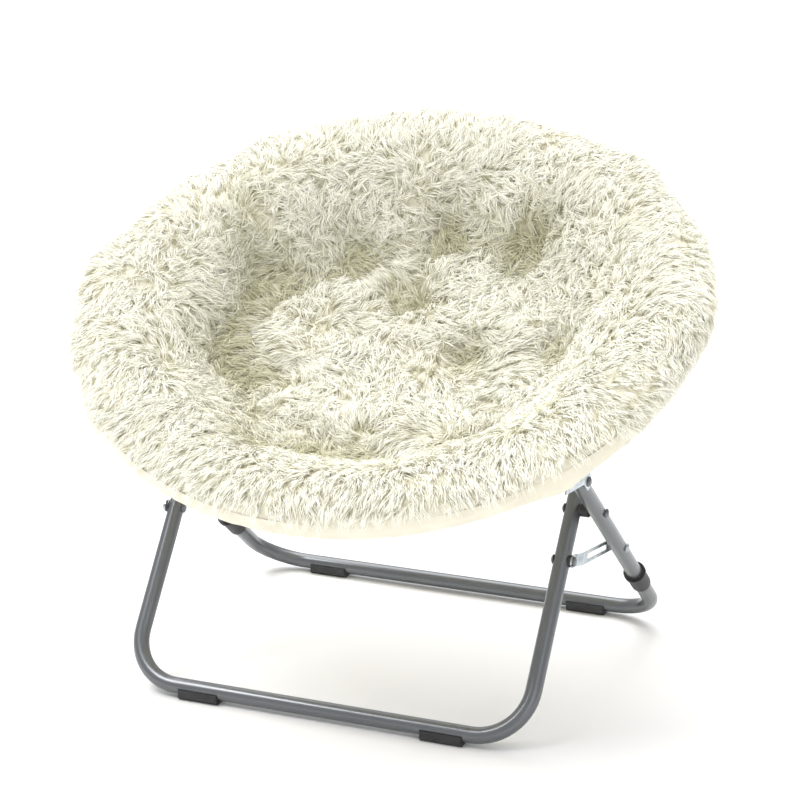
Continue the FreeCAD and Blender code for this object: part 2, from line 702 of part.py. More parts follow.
def bracket(name, frame, half_spacing, upper, ring_place, low, high, top):
    """A channel over a capped leg top, whose two ears reach up to the ring tube."""
    body = new_body(name, f"{frame} * " + place(x=half_spacing))
    along, over = ring_place
    rivet_place = f"({upper} - dims.bracket_rivet_inset)"
    end = f"({rivet_place} - {HALF_TUBE})"
    web = f"({upper} + dims.cap_thickness + dims.bracket_clearance)"
    inner = f"(dims.tube_diameter + 2 * dims.bracket_clearance)"
    ears = new_sketch(body, "ears", "YZ_Plane")
    add_polygon(ears, [(end, f"-{HALF_TUBE}"), (end, HALF_TUBE), (web, HALF_TUBE),
                       (top, f"{over} + {high}"), (top, f"{over} - {low}"),
                       (web, f"-{HALF_TUBE}")])
    pad(body, ears, f"{inner} + 2 * dims.bracket_thickness", both_ways=True)
    room = new_sketch(body, "room", "YZ_Plane")
    wide = f"(2 * dims.tube_diameter + abs({over}))"
    after = f"({web} + dims.bracket_thickness)"
    beyond = f"({along} + dims.tube_diameter)"
    add_polygon(room, [(f"{end} - 1", f"-{wide}"), (web, f"-{wide}"),
                       (web, wide), (f"{end} - 1", wide)])
    add_polygon(room, [(after, f"-{wide}"), (beyond, f"-{wide}"), (beyond, wide), (after, wide)])
    pocket(body, room, inner)
    hole = new_sketch(body, "hole", "YZ_Plane")
    add_circle(hole, rivet_place, "0", RIVET_HOLE)
    pocket(body, hole)
    lowest = number(end)
    rounded = edges_across(body, Vector(1, 0, 0), lambda point: point.y < lowest + 0.01)
    fillet(body, rounded, "dims.bracket_end_round")
    return body


def bracket_rivets(name, frame, half_spacing, upper, gap):
    """Two rivet ends, one in each ear, that stop at the leg tube or short of it."""
    base = place(x=half_spacing, y=f"{upper} - dims.bracket_rivet_inset")
    ear = f"({HALF_TUBE} + dims.bracket_clearance + dims.bracket_thickness)"
    tip = f"({HALF_TUBE} + {gap})"
    outer = rivet(f"{name}_outer", f"{frame} * {base}", tip, ear, heads=("end",))
    inner = rivet(f"{name}_inner", f"{frame} * {base}", f"-{ear}", f"-{tip}", heads=("start",))
    return [outer, inner]


def make_brackets(front_path, rear_path):
    front_tool = ring_sweep("front_bracket_tool", front_path, FRONT_SEAT, HALF_TUBE)
    rear_tool = ring_sweep("rear_bracket_tool", rear_path, REAR_SEAT, HALF_TUBE)
    front_place = ring_in_leg("dims.front_seat_tilt", "dims.front_ring_depth", "-1",
                              REAR_LEG_X, "(180 - dims.rear_leg_angle)")
    saddle = bracket("ring_saddle", REAR_LEG, REAR_LEG_X, "dims.rear_leg_upper",
                     front_place, "dims.saddle_spread", "dims.saddle_spread",
                     f"({front_place[0]} - {HALF_TUBE} + dims.bracket_bite)")
    keep_pair("ring_saddle", cut("ring_saddle_coped", saddle, front_tool))
    keep_group("saddle_rivets", bracket_rivets("saddle_rivet", REAR_LEG,
                                               REAR_LEG_X,
                                               "dims.rear_leg_upper", "dims.running_gap"))
    rear_place = ring_in_leg("dims.rear_seat_tilt", "dims.rear_ring_depth", "1",
                             "dims.front_leg_half_spacing", "dims.front_leg_angle")
    holder = bracket("leg_top_bracket", FRONT_LEG, "dims.front_leg_half_spacing",
                     "dims.front_leg_upper", rear_place, "dims.leg_bracket_low",
                     "dims.leg_bracket_high", f"({rear_place[0]} - dims.bracket_bite)")
    keep_pair("leg_top_bracket", cut("leg_top_bracket_coped", holder, rear_tool))
    through = place(x="dims.front_leg_half_spacing",
                    y="dims.front_leg_upper - dims.bracket_rivet_inset")
    ear = f"({HALF_TUBE} + dims.bracket_clearance + dims.bracket_thickness)"
    top_rivet = rivet("leg_top_rivet", f"{FRONT_LEG} * {through}", f"-{ear}", ear)
    keep_group("leg_top_rivets", [top_rivet])


# Padded seat: a cover under the ring and a cushion over it, each in two halves
def bowl_height(share, edge, centre):
    """Height of the bowl at a share of its radius, from its edge to its centre."""
    fall = (1 - share * share) ** number("dims.bowl_sharpness")
    return edge + (centre - edge) * fall


def bowl_curve(radius, edge, centre):
    """The bowl's curve from its edge down to the middle of the seat."""
    steps = 7
    points = []
    for step in range(steps, -1, -1):
        share = step / steps
        points.append(Vector(share * radius, 0, bowl_height(share, edge, centre)))
    curve = Part.BSplineCurve()
    curve.interpolate(points)
    return curve.toShape()


def arc(start, middle, end):
    return Part.Arc(start, middle, end).toShape()


def rim_sizes():
    """Inner and outer radius of the rim, its split and the bowl's underside."""
    tube = -number("dims.hinge_rise")
    inner = number("dims.ring_half_width") - number("dims.rim_inner_width")
    outer = number("dims.ring_half_width") + number("dims.rim_overhang")
    return inner, outer, tube - number("dims.seat_split_drop"), tube - number("dims.bowl_depth")


def between(start, end, share):
    return start + (end - start) * share


def cushion_face():
    """Section of the cushion: a rolled rim over the tube and a padded bowl."""
    inner, outer, split, underside = rim_sizes()
    gap, slope = number("dims.seat_gap"), number("dims.rim_crown_round")
    tube, top = -number("dims.hinge_rise"), -number("dims.rim_top_gap")
    floor = underside + number("dims.cover_thickness") + gap
    padding = floor + number("dims.cushion_thickness")
    inner_low = Vector(inner, 0, tube + gap)
    inner_top = Vector(inner, 0, between(top, tube, slope))
    crown = Vector((outer + inner) / 2, 0, top)
    side = Vector(outer, 0, (top + split) / 2)
    shoulder = Vector(between(outer, crown.x, slope), 0,
                      between(top, side.z, number("dims.rim_side_round")))
    rise = Vector((inner + crown.x) / 2, 0, between(top, inner_top.z, slope))
    edge = Vector(outer, 0, split)
    under = Vector(inner + number("dims.seat_split_drop"), 0, split)
    centre_top, centre_low = Vector(0, 0, padding), Vector(0, 0, floor)
    edges = [Part.LineSegment(edge, side).toShape(),
             arc(side, shoulder, crown),
             arc(crown, rise, inner_top),
             bowl_curve(inner, inner_top.z, padding),
             Part.LineSegment(centre_top, centre_low).toShape(),
             bowl_curve(inner, inner_low.z, floor),
             Part.LineSegment(inner_low, under).toShape(),
             Part.LineSegment(under, edge).toShape()]
    return Part.Face(Part.Wire(Part.sortEdges(edges)[0]))


def cover_face():
    """Section of the cover: a fabric bowl and a roll that closes under the tube."""
    inner, outer, split, underside = rim_sizes()
    slope = number("dims.rim_crown_round")
    tube, wall = -number("dims.hinge_rise"), number("dims.cover_thickness")
    low = tube - number("dims.rim_bottom_drop")
    under_edge = split - number("dims.seat_gap")
    edge = Vector(outer, 0, under_edge)
    bottom = Vector(number("dims.ring_half_width") - number("dims.rim_bottom_inset"), 0, low)
    bulge = Vector(between(outer, bottom.x, slope), 0,
                   between(low, split, number("dims.rim_side_round")))
    inner_top = Vector(inner, 0, tube)
    inner_low = Vector(inner, 0, tube - number("dims.bowl_edge_drop"))
    hollow = Vector((inner + bottom.x) / 2, 0, between(low, inner_low.z, slope))
    under = Vector(inner + number("dims.seat_split_drop"), 0, under_edge)
    centre_top, centre_low = Vector(0, 0, underside + wall), Vector(0, 0, underside)
    edges = [arc(edge, bulge, bottom),
             arc(bottom, hollow, inner_low),
             bowl_curve(inner, inner_low.z, underside),
             Part.LineSegment(centre_low, centre_top).toShape(),
             bowl_curve(inner, inner_top.z, underside + wall),
             Part.LineSegment(inner_top, under).toShape(),
             Part.LineSegment(under, edge).toShape()]
    return Part.Face(Part.Wire(Part.sortEdges(edges)[0]))


def block(low, high):
    return Part.makeBox(high.x - low.x, high.y - low.y, high.z - low.z, low)


def hinge_notches():
    """Room at the ring hinge for the leaves, the pin and the tube's end."""
    gap = number("dims.notch_side_gap")
    ring, half = number("dims.ring_half_width"), number(HALF_TUBE)
    leaf, head = number("dims.leaf_thickness"), number("dims.rivet_head_height")
    inset = number(oval_inset("dims.front_ring_depth"))
    start = ring - half - leaf - inset - head - gap
    end = ring + number("dims.rim_overhang") + gap
    eye = number("dims.leaf_eye_radius") + gap
    tube, tall = -number("dims.hinge_rise"), number("dims.leaf_half_height") + gap
    reach = number("dims.leaf_length") + gap
    return [block(Vector(start, -1, -eye - gap), Vector(end, eye, gap)),
            block(Vector(start, -1, tube - tall), Vector(end, reach, tube + tall))]


def bracket_notch(half_spacing, depth, inward, outward):
    """Room under the tube where a leg bracket comes up to it."""
    across = number(half_spacing)
    side = (number("dims.tube_diameter") / 2 + number("dims.bracket_clearance")
            + number("dims.bracket_thickness") + number("dims.rivet_head_height")
            + number("dims.notch_side_gap"))
    out = number(ring_reach(half_spacing, depth))
    top = -number("dims.hinge_rise") + number("dims.leg_bracket_high")
    low = -number("dims.hinge_rise") - number("dims.bowl_depth")
    return block(Vector(across - side, out - number(inward), low),
                 Vector(across + side, out + number(outward), top))


def meeting_wedge(lean):
    """What a half gives up so that the two halves meet halfway along the hinge line."""
    wide = number("dims.ring_half_width") + number("dims.rim_overhang") + 1
    deep = number("dims.hinge_rise") + number("dims.bowl_depth") + 1
    wedge = block(Vector(-wide, -deep, -2 * deep), Vector(wide, number("dims.seat_gap"), deep))
    wedge.rotate(Vector(0, 0, 0), Vector(1, 0, 0), lean)
    return wedge


def seat_half(name, face, path, seat_frame, depth, notches):
    """Turns a section through half a circle, stretches it and cuts its rooms."""
    half_width = number("dims.ring_half_width")
    solid = face.revolve(Vector(0, 0, 0), Vector(0, 0, 1), 180)
    squeeze = Matrix()
    squeeze.scale(1, number(depth) / half_width, 1)
    solid = solid.transformGeometry(squeeze)
    lean = (number("dims.front_seat_tilt") - number("dims.rear_seat_tilt")) / 2
    solid = solid.cut(meeting_wedge(lean))
    mirrored = [notch.mirror(Vector(0, 0, 0), Vector(1, 0, 0)) for notch in notches]
    for notch in notches + mirrored:
        solid = solid.cut(notch)
    blank = doc.addObject("Part::Feature", f"{name}_blank")
    blank.Shape = solid
    blank.setExpression("Placement", seat_frame)
    tunnel = ring_sweep(f"{name}_tunnel", path, seat_frame, f"{HALF_TUBE} + dims.seat_gap")
    keep(name, cut(f"{name}_fitted", blank, tunnel))


def make_seat(front_path, rear_path):
    saddle_room = bracket_notch(REAR_LEG_X, "dims.front_ring_depth",
                                "dims.saddle_room_inward", "dims.saddle_room_outward")
    holder_room = bracket_notch("dims.front_leg_half_spacing", "dims.rear_ring_depth",
                                "dims.holder_room_inward", "dims.holder_room_outward")
    front = hinge_notches() + [saddle_room]
    rear = hinge_notches() + [holder_room]
    for layer, face in (("seat_cover", cover_face()), ("seat_cushion", cushion_face())):
        seat_half(f"{layer}_front", face, front_path, FRONT_SEAT, "dims.front_ring_depth", front)
        seat_half(f"{layer}_rear", face, rear_path, REAR_SEAT, "dims.rear_ring_depth", rear)


def check_document():
    for item in doc.Objects:
        if "Invalid" in item.State or "Error" in item.State:
            raise RuntimeError(f"{item.Name} failed: {item.State}")
    for name, piece in nodes.items():
        if piece.Shape.isNull() or not piece.Shape.isValid() or not piece.Shape.Solids:
            raise RuntimeError(f"{name} has no valid solid")


def export_parts():
    os.makedirs(PARTS_FOLDER, exist_ok=True)
    for name, piece in nodes.items():
        piece.Shape.exportStep(os.path.join(PARTS_FOLDER, f"{name}.step"))


def build():
    make_legs()
    make_pivots()
    make_caps()
    make_collars()
    make_feet()
    make_link()
    make_link_fasteners()
    front_path = ring_path("front_ring", "dims.front_ring_depth", FRONT_SEAT)
    rear_path = ring_path("rear_ring", "dims.rear_ring_depth", REAR_SEAT)
    half_ring("front_half_ring", front_path, FRONT_SEAT)
    half_ring("rear_half_ring", rear_path, REAR_SEAT)
    make_ring_hinges()
    make_brackets(front_path, rear_path)
    make_seat(front_path, rear_path)
    doc.recompute()
    check_document()
    export_parts()
    print(len(nodes), "nodes written")


build()
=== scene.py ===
import math

import bpy
import numpy as np
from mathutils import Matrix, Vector, noise


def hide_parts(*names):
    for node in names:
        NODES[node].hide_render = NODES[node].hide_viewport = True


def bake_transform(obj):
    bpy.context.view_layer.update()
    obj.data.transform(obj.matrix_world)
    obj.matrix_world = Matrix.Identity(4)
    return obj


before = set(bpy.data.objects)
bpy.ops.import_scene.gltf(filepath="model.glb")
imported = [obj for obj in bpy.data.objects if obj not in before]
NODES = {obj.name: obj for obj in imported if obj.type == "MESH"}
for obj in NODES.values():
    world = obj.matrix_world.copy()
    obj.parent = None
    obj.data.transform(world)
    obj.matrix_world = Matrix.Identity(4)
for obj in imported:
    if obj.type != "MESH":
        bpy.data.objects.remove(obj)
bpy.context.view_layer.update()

# Folding saucer chair: a long-pile fur seat with a plain cream cover under it,
# on a grey tube frame. Metres, +Z up, the front towards -Y.
# Seat coordinates: x across, v along the seat plane (rear half positive),
# w up from the plane through the hinge line.

# Both sources of random numbers are seeded, so the fur is the same each run
SEED = 7
RANDOM = np.random.default_rng(SEED)
noise.seed_set(SEED)

# Seat size, as in the part's sheet. A stretch is a half ring's depth over its half width
HINGE_Y, HINGE_Z = -0.0138, 0.458
FRONT_TILT, REAR_TILT = math.radians(33.1), math.radians(30)
RING_HALF_WIDTH = 0.365
FRONT_STRETCH, REAR_STRETCH = 330 / 365, 323 / 365

# How far before and behind the hinge line the tilt changes, and the seat bends
TILT_CHANGE_HALF = 0.06


# Mesh helpers
def smoothstep(value):
    value = np.clip(value, 0, 1)
    return value * value * (3 - 2 * value)


def unit(vectors):
    return vectors / (np.linalg.norm(vectors, axis=-1, keepdims=True) + 1e-9)


def seat_to_world(x, v, w):
    """Points of the seat, leaning as the half that they lie on does."""
    points = []
    for tilt in (FRONT_TILT, REAR_TILT):
        y = HINGE_Y + v * math.cos(tilt) - w * math.sin(tilt)
        z = HINGE_Z + v * math.sin(tilt) + w * math.cos(tilt)
        points.append(np.stack([x, y, z], axis=-1))
    rear = smoothstep((v + TILT_CHANGE_HALF) / (2 * TILT_CHANGE_HALF))[..., None]
    return points[0] * (1 - rear) + points[1] * rear


def oval(radius, angle):
    """Seat x and v at a ring radius and an angle from +X towards the rear."""
    v = radius * np.sin(angle)
    return radius * np.cos(angle), v * np.where(v > 0, REAR_STRETCH, FRONT_STRETCH)


def profile(points, count):
    """Evenly spaced points on a smooth curve through (radius, height) points."""
    points = np.array(points)
    knots = np.concatenate([[0], np.cumsum(np.linalg.norm(np.diff(points, axis=0), axis=1))])
    slopes = np.gradient(points, knots, axis=0)
    places = np.linspace(0, knots[-1], count)
    span = np.clip(np.searchsorted(knots, places, side="right") - 1, 0, len(knots) - 2)
    width = (knots[span + 1] - knots[span])[:, None]
    share = (places[:, None] - knots[span][:, None]) / width
    start, end = points[span], points[span + 1]
    leave, arrive = slopes[span] * width, slopes[span + 1] * width
    return ((1 + 2 * share) * (1 - share) ** 2 * start + share * (1 - share) ** 2 * leave
            + share ** 2 * (3 - 2 * share) * end + share ** 2 * (share - 1) * arrive)


def ring_faces(rows, columns):
    """Quads of a grid that closes on itself round the seat."""
    row, column = np.meshgrid(np.arange(rows - 1), np.arange(columns), indexing="ij")
    after = (column + 1) % columns
    quads = [row * columns + column, (row + 1) * columns + column,
             (row + 1) * columns + after, row * columns + after]
    return np.stack(quads, axis=-1).reshape(-1, 4)


def new_mesh(name, vertices, faces, material):
    """faces is an array of corners, all faces with the same number of them."""
    mesh = bpy.data.meshes.new(name)
    sides = faces.shape[1]
    mesh.vertices.add(len(vertices))
    mesh.vertices.foreach_set("co", vertices.astype(np.float32).ravel())
    mesh.loops.add(faces.size)
    mesh.loops.foreach_set("vertex_index", faces.astype(np.int32).ravel())
    mesh.polygons.add(len(faces))
    mesh.polygons.foreach_set("loop_start", np.arange(0, faces.size, sides, dtype=np.int32))
    mesh.update(calc_edges=True)
    mesh.validate()
    mesh.shade_smooth()
    mesh.materials.append(material)
    piece = bpy.data.objects.new(name, mesh)
    bpy.context.scene.collection.objects.link(piece)
    return piece


def lumps(x, v, size, offset):
    """Smooth noise from -1 to 1 over the seat, with lumps of a size."""
    places = np.stack([x.ravel() / size, v.ravel() / size], axis=-1)
    values = [noise.noise(Vector((px, pv, offset))) for px, pv in places]
    return np.array(values).reshape(x.shape)


def waves(angle, terms, start=0):
    """Sine waves round the seat, each with a height, a count and a phase."""
    return sum((height * np.sin(count * angle + phase) for height, count, phase in terms), start)


# Materials
def new_material(name):
    material = bpy.data.materials.new(name)
    material.use_nodes = True
    nodes, links = material.node_tree.nodes, material.node_tree.links
    return material, nodes, links, nodes["Principled BSDF"]


def noise_factor(nodes, links, scale, detail):
    place = nodes.new("ShaderNodeTexCoord")
    texture = nodes.new("ShaderNodeTexNoise")
    texture.inputs["Scale"].default_value = scale
    texture.inputs["Detail"].default_value = detail
    links.new(place.outputs["Object"], texture.inputs["Vector"])
    return texture.outputs["Fac"]


def two_tone(nodes, links, shader, factor, low, high, start=0.3, end=0.7):
    """Base colour from low to high as the factor goes from start to end."""
    ramp = nodes.new("ShaderNodeValToRGB")
    ramp.color_ramp.elements[0].position = start
    ramp.color_ramp.elements[0].color = (*low, 1)
    ramp.color_ramp.elements[1].position = end
    ramp.color_ramp.elements[1].color = (*high, 1)
    links.new(factor, ramp.inputs["Fac"])
    links.new(ramp.outputs["Color"], shader.inputs["Base Color"])


def vary_roughness(nodes, links, shader, factor, low, high):
    span = nodes.new("ShaderNodeMapRange")
    span.inputs["To Min"].default_value = low
    span.inputs["To Max"].default_value = high
    links.new(factor, span.inputs["Value"])
    links.new(span.outputs["Result"], shader.inputs["Roughness"])


def add_bump(nodes, links, shader, height, strength, distance):
    bump = nodes.new("ShaderNodeBump")
    bump.inputs["Strength"].default_value = strength
    bump.inputs["Distance"].default_value = distance
    links.new(height, bump.inputs["Height"])
    links.new(bump.outputs["Normal"], shader.inputs["Normal"])


def grey_paint():
    """Satin gunmetal paint with a fine flake and a very slight orange peel."""
    material, nodes, links, shader = new_material("grey_paint")
    flake = noise_factor(nodes, links, 2400, 2)
    two_tone(nodes, links, shader, flake, (0.125, 0.132, 0.141), (0.158, 0.166, 0.176))
    shader.inputs["Metallic"].default_value = 0.65
    wear = noise_factor(nodes, links, 14, 1)
    vary_roughness(nodes, links, shader, wear, 0.27, 0.33)
    shader.inputs["Coat Weight"].default_value = 0.25
    shader.inputs["Coat Roughness"].default_value = 0.2
    peel = noise_factor(nodes, links, 1500, 1)
    add_bump(nodes, links, shader, peel, 0.02, 0.0001)
    return material


def plated(name, low, high, rough_low, rough_high):
    """Zinc or steel with a clouded finish and fine drawing marks."""
    material, nodes, links, shader = new_material(name)
    cloud = noise_factor(nodes, links, 110, 5)
    two_tone(nodes, links, shader, cloud, low, high)
    shader.inputs["Metallic"].default_value = 1.0
    marks = noise_factor(nodes, links, 600, 3)
    vary_roughness(nodes, links, shader, marks, rough_low, rough_high)
    add_bump(nodes, links, shader, marks, 0.15, 0.0003)
    return material


def black_plastic():
    """Moulded plastic with a fine grain and slightly worn tone."""
    material, nodes, links, shader = new_material("black_plastic")
    wear = noise_factor(nodes, links, 70, 4)
    two_tone(nodes, links, shader, wear, (0.012, 0.012, 0.013), (0.03, 0.03, 0.032))
    grain = noise_factor(nodes, links, 1500, 2)
    vary_roughness(nodes, links, shader, grain, 0.42, 0.6)
    add_bump(nodes, links, shader, grain, 0.25, 0.0002)
    return material


def cover_fabric():
    """Plain cream cloth: a fine weave with a soft sheen."""
    material, nodes, links, shader = new_material("cover_fabric")
    cloud = noise_factor(nodes, links, 28, 4)
    two_tone(nodes, links, shader, cloud, (0.74, 0.70, 0.56), (0.82, 0.78, 0.65))
    shader.inputs["Roughness"].default_value = 0.85
    shader.inputs["Sheen Weight"].default_value = 0.3
    place = nodes.new("ShaderNodeTexCoord")
    weave = nodes.new("ShaderNodeMath")
    weave.operation = "MULTIPLY"
    for socket, direction in zip(weave.inputs, ("X", "Z")):
        thread = nodes.new("ShaderNodeTexWave")
        thread.bands_direction = direction
        thread.inputs["Scale"].default_value = 420
        thread.inputs["Distortion"].default_value = 1.5
        links.new(place.outputs["Object"], thread.inputs["Vector"])
        links.new(thread.outputs["Fac"], socket)
    add_bump(nodes, links, shader, weave.outputs["Value"], 0.3, 0.0003)
    return material


def fur_backing():
    """The knitted backing, seen only between the strands."""
    material, nodes, links, shader = new_material("fur_backing")
    cloud = noise_factor(nodes, links, 160, 4)
    two_tone(nodes, links, shader, cloud, (0.66, 0.63, 0.50), (0.80, 0.77, 0.64))
    shader.inputs["Roughness"].default_value = 0.95
    add_bump(nodes, links, shader, cloud, 0.6, 0.003)
    return material


def fur_strand():
    """Ivory fibre, olive-beige at the root as painted shade deep in the pile, and lighter
    towards the tip.
    """
    material, nodes, links, shader = new_material("fur_strand")
    # The strand attribute also carries painted shade, darker in the pad's hollows
    along = nodes.new("ShaderNodeAttribute")
    along.attribute_name = "strand"
    two_tone(nodes, links, shader, along.outputs["Fac"], (0.57, 0.55, 0.36),
             (0.97, 0.955, 0.865), 0.1, 0.7)
    shader.inputs["Roughness"].default_value = 0.55
    shader.inputs["Sheen Weight"].default_value = 0.4
    shader.inputs["Sheen Roughness"].default_value = 0.4
    return material


PAINT = grey_paint()
ZINC = plated("zinc", (0.30, 0.34, 0.37), (0.52, 0.56, 0.59), 0.20, 0.34)
RIVET_STEEL = plated("rivet_steel", (0.13, 0.135, 0.145), (0.24, 0.245, 0.25), 0.3, 0.5)
PLASTIC = black_plastic()
CREAM = cover_fabric()
BACKING = fur_backing()
STRAND = fur_strand()

# The first word found in a node's name gives its material
NODE_MATERIALS = (("tube", PAINT), ("half_ring", PAINT), ("leg_top_bracket", PAINT),
                  ("cap", PLASTIC), ("foot", PLASTIC), ("collar", PLASTIC),
                  ("spacer", PLASTIC), ("washer", PLASTIC), ("rivet", RIVET_STEEL),
                  ("lock_link", ZINC), ("ring_saddle", ZINC), ("hinge_leaf", ZINC),
                  ("hinge_pin", ZINC), ("link_pin", ZINC), ("slot_button", ZINC))


def dress_frame():
    for name, node in NODES.items():
        for word, material in NODE_MATERIALS:
            if word in name:
                node.data.materials.clear()
                node.data.materials.append(material)
                break


# Seat profiles, as (radius, w) points: the pad from the middle of its top over the
# rim and back under itself, then the cover's roll round the ring and its slung bowl
FUR_TOP = ((0.0, -0.113), (0.090, -0.109), (0.150, -0.102), (0.195, -0.089), (0.226, -0.070),
           (0.248, -0.047), (0.268, -0.026), (0.290, -0.009), (0.314, 0.002), (0.336, 0.005),
           (0.352, 0.003), (0.366, -0.0025), (0.3745, -0.0105), (0.3755, -0.017))
FUR_UNDER = ((0.3755, -0.017), (0.3715, -0.0095), (0.365, -0.0085), (0.356, -0.010),
             (0.352, -0.017), (0.345, -0.0215), (0.333, -0.0210), (0.300, -0.0410),
             (0.262, -0.0650), (0.220, -0.0880), (0.180, -0.1050), (0.090, -0.1260),
             (0.0, -0.1310))
COVER_ROLL = ((0.3740, -0.0085), (0.3775, -0.0150), (0.3778, -0.0230), (0.3740, -0.0310),
              (0.3665, -0.0375), (0.3570, -0.0400), (0.3470, -0.0370), (0.3390, -0.0310),
              (0.3330, -0.0260))
COVER_BOWL = ((0.3330, -0.0260), (0.300, -0.0465), (0.262, -0.0710), (0.220, -0.0940),
              (0.180, -0.1110), (0.090, -0.1320), (0.0, -0.1370))
ROLL_INNER_RADIUS = COVER_BOWL[0][0]
CENTRE_RADIUS = 0.0006
LEAST_STRETCH_RADIUS = 0.05

# Pad: rows and columns, least thickness, and smooth lumps as height, size and offset
ROUND_STEPS = 240
TOP_ROWS, FUR_ROWS, UNDER_ROWS = 90, 86, 36
PAD_MINIMUM = 0.008
PUFF = 0.006
BOWL_LUMPS = ((0.011, 0.075, 3.1), (0.004, 0.035, 8.4))
RIM_LUMP = (0.006, 0.08, 5.7)
BOWL_EDGE_START, BOWL_EDGE_SPAN = 0.22, 0.07
RIM_LUMP_START, RIM_LUMP_SPAN = 0.24, 0.05

# Stitched tufts at x and v, and creases from one x and v to another
TUFTS = ((-0.105, 0.140), (-0.180, 0.085), (-0.210, -0.025), (-0.150, -0.060),
         (-0.040, -0.180), (0.020, -0.175), (0.005, 0.185), (-0.025, 0.095),
         (0.120, 0.170), (0.150, -0.150), (0.185, 0.020), (0.075, 0.010))
TUFT_DEPTH, TUFT_REACH = 0.024, 0.030
FOLDS = ((-0.235, 0.150, -0.205, 0.040), (-0.205, 0.040, -0.200, -0.060),
         (-0.200, -0.060, -0.090, -0.205), (-0.090, -0.205, 0.110, -0.215),
         (-0.140, 0.115, -0.060, 0.150), (0.005, 0.185, 0.120, 0.170))
FOLD_DEPTH, FOLD_REACH = 0.012, 0.026

# Where the cloth and padding swell over metal: x, v, height and reach
SWELLS = ((0.362, 0.0, 0.0075, 0.042), (0.2718, -0.2217, 0.0080, 0.028),
          (0.2427, 0.2435, 0.0060, 0.034))


def tuft_drop(x, v):
    """How far the stitched tufts and the creases pull the padding down."""
    drop = np.zeros_like(x)
    for tuft_x, tuft_v in TUFTS:
        near = ((x - tuft_x) ** 2 + (v - tuft_v) ** 2) / TUFT_REACH ** 2
        drop += TUFT_DEPTH * np.exp(-near)
    for from_x, from_v, to_x, to_v in FOLDS:
        along_x, along_v = to_x - from_x, to_v - from_v
        share = ((x - from_x) * along_x + (v - from_v) * along_v) / (along_x ** 2 + along_v ** 2)
        share = np.clip(share, 0, 1)
        near = (x - from_x - share * along_x) ** 2 + (v - from_v - share * along_v) ** 2
        drop += FOLD_DEPTH * np.exp(-near / FOLD_REACH ** 2)
    return drop


def metal_swell(x, v):
    """Swelling over the ring's hinges and the four leg brackets."""
    swell = np.zeros_like(x)
    for place_x, place_v, height, reach in SWELLS:
        near = (np.abs(x) - place_x) ** 2 + (v - place_v) ** 2
        swell += height * np.exp(-near / reach ** 2)
    return swell


def seat_grid(curve, columns):
    """x, v and w of a profile turned round the seat, one row per profile point."""
    radius = np.maximum(curve[:, 0], CENTRE_RADIUS)[:, None]
    angle = np.linspace(0, 2 * math.pi, columns, endpoint=False)[None, :]
    x, v = oval(radius, angle)
    return x, v, np.repeat(curve[:, 1][:, None], columns, axis=1), radius, angle


def pad_relief(x, v, radius):
    """Height of the pad's stuffed lumps, less its tufts and creases."""
    puff = PUFF
    for height, size, offset in BOWL_LUMPS:
        puff = puff + height * lumps(x, v, size, offset)
    height, size, offset = RIM_LUMP
    rim_puff = (height * lumps(x, v, size, offset)
                * smoothstep((radius - RIM_LUMP_START) / RIM_LUMP_SPAN))
    in_bowl = 1 - smoothstep((radius - BOWL_EDGE_START) / BOWL_EDGE_SPAN)
    return in_bowl * (puff - tuft_drop(x, v)) + rim_puff


def above_cover(w, radius, upper):
    """The pad's top, kept at its least thickness over the slung cover."""
    cover_radius, cover_w = zip(*COVER_BOWL[::-1])
    lowest = np.interp(radius, cover_radius, cover_w) + PAD_MINIMUM
    return np.where((upper > 0) & (radius < ROLL_INNER_RADIUS), np.maximum(w, lowest), w)


def padding_surface():
    """The closed pad under the fur: tufted above, plain below."""
    top = profile(FUR_TOP, TOP_ROWS)
    under = profile(FUR_UNDER, UNDER_ROWS)[1:]
    x, v, w, radius, _ = seat_grid(np.concatenate([top, under]), ROUND_STEPS)
    upper = np.zeros(w.shape)
    upper[:TOP_ROWS] = 1
    swell = metal_swell(x, v)
    w = above_cover(w + upper * (pad_relief(x, v, radius) + swell), radius, upper)
    stretch = 1 + swell / np.maximum(radius, LEAST_STRETCH_RADIUS)
    return seat_to_world(x * stretch, v * stretch, w)


def make_padding():
    grid = padding_surface()
    faces = ring_faces(grid.shape[0], ROUND_STEPS)
    return new_mesh("seat_padding", grid.reshape(-1, 3), faces, BACKING), grid


# Fur zones: first and last row of the pad, spacing of clumps, strands in a clump
RIM_ROW = 62
FUR_ZONES = (("bowl", 0, RIM_ROW, 0.0055, 9), ("rim", RIM_ROW - 1, FUR_ROWS, 0.0052, 9),
             ("side", FUR_ROWS - 1, TOP_ROWS, 0.0046, 7))
SIDE_FUR_V = 0.16
RIM_FUR_START, RIM_FUR_SPAN = 0.25, 0.09

# How clumps lie: combed by shares of outward and down, drifting in swirls that have a
# strength, a size and an offset, and scattered a little
RIM_COMB, BOWL_COMB = (0.75, 0.35), (0.10, 0.12)
SWIRLS = ((1.5, 0.085, 2.3), (0.8, 0.020, 7.9))
DRIFT, BOWL_DRIFT = 0.62, 0.23
SCATTER = 0.28

# Clumps: length along the pad, height above it, and the rim's shares less of each
LENGTH, LENGTH_RANGE, RIM_SHORTER = 0.025, (0.8, 1.2), 0.2
STANDING, STANDING_RANGE, RIM_LOWER = 0.0115, (0.7, 1.15), 0.35
CLUMP_SPREAD = 0.0027

